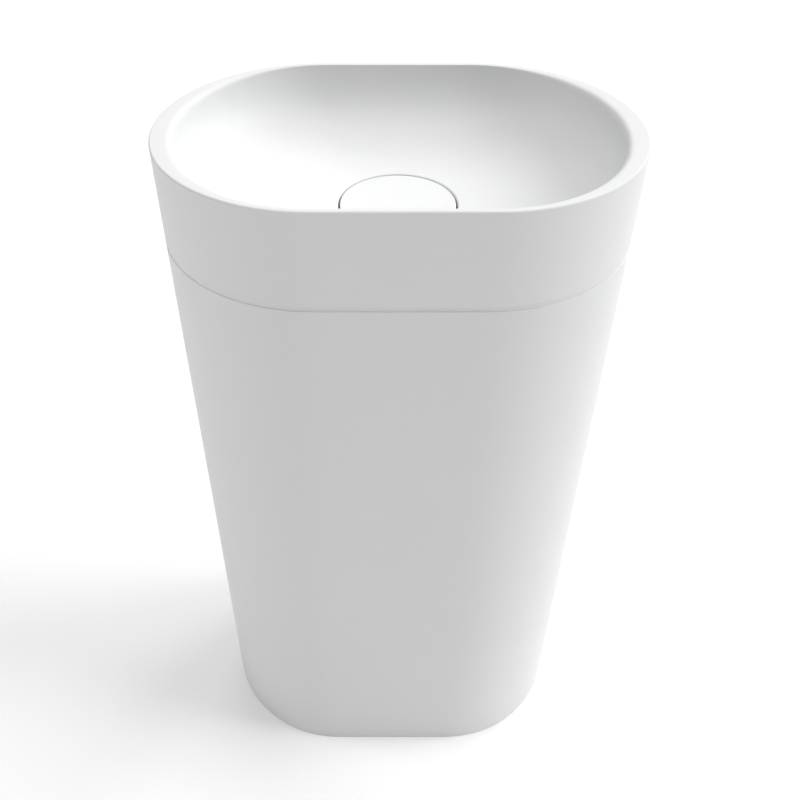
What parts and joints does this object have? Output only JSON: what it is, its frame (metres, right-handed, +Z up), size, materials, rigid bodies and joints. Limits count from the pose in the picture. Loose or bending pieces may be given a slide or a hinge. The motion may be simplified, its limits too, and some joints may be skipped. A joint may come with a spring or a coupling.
{
  "type": "pedestal sink",
  "caption": "Free-standing obround basin on a matching hollow column, matt white, with a flush round push-to-open waste cover, bottle trap and rear service panel.",
  "frame": {"origin": "on the floor at the middle of the column's footprint", "axes": "+X along the width, -Y the front, +Y the rear with the service panel, +Z up"},
  "size_m": [0.49, 0.33, 0.9],
  "materials": {
    "solid_surface": "matte",
    "cover_surface": "matte",
    "panel_surface": "matte",
    "chromed_brass": "polished",
    "bare_brass": "satin",
    "stainless": "satin",
    "spring_steel": "satin",
    "magnet": "polished",
    "black_rubber": "matte",
    "grey_seal": "matte",
    "white_plastic": "satin"
  },
  "bodies": {
    "fixture": {"basin": "solid_surface", "pedestal": "solid_surface", "basin_inserts": "bare_brass", "bracket_inserts": "bare_brass", "backnut": "bare_brass", "click_cartridge": "bare_brass", "seat_gasket": "black_rubber", "flange_seal": "grey_seal", "under_gasket": "black_rubber", "trap_inlet_washer": "black_rubber", "trap_top_washer": "black_rubber", "trap_outlet_washer": "black_rubber", "locating_dowels": "stainless", "basin_screws": "stainless", "basin_washers": "stainless", "floor_brackets": "stainless", "bracket_screws": "stainless", "clip_screws": "stainless", "panel_magnets": "magnet", "return_spring": "spring_steel", "waste_flange": "chromed_brass", "trap_inlet_nut": "chromed_brass", "dip_tube": "chromed_brass", "trap_top_nut": "chromed_brass", "trap_body": "chromed_brass", "trap_outlet_nut": "chromed_brass", "outlet_pipe": "chromed_brass", "pipe_clips": "white_plastic"},
    "stem": {"plunger_stem": "stainless"},
    "cover": {"waste_cover": "cover_surface", "cover_insert": "bare_brass", "waste_plug": "white_plastic", "plug_seal": "black_rubber"},
    "cup_ring": {"trap_cup_seal": "black_rubber"},
    "cup": {"trap_cup": "chromed_brass"},
    "panel": {"access_panel": "panel_surface", "panel_strikes": "stainless"}
  },
  "joints": [
    {"name": "cover_lift", "type": "slide", "parent": "fixture", "child": "stem", "axis": [0, 0, 1], "range_m": [0, 0.01], "deforming": ["return_spring"]},
    {"name": "cover_spin", "type": "hinge", "parent": "stem", "child": "cover", "pos_m": [0, 0, 0.808], "axis": [0, 0, 1], "continuous": true},
    {"name": "cup_drop", "type": "slide", "parent": "fixture", "child": "cup_ring", "axis": [0, 0, 1], "range_m": [-0.012, 0]},
    {"name": "cup_turn", "type": "hinge", "parent": "cup_ring", "child": "cup", "pos_m": [0, 0, 0.58], "axis": [0, 0, 1], "range_deg": [-1080, 0]},
    {"name": "panel_pull", "type": "slide", "parent": "fixture", "child": "panel", "axis": [0, 1, 0], "range_m": [0, 0.06]}
  ],
  "couplings": [
    {"joint": "cup_drop", "follows": "cup_turn", "m_per_rad": 0.00063662}
  ]
}
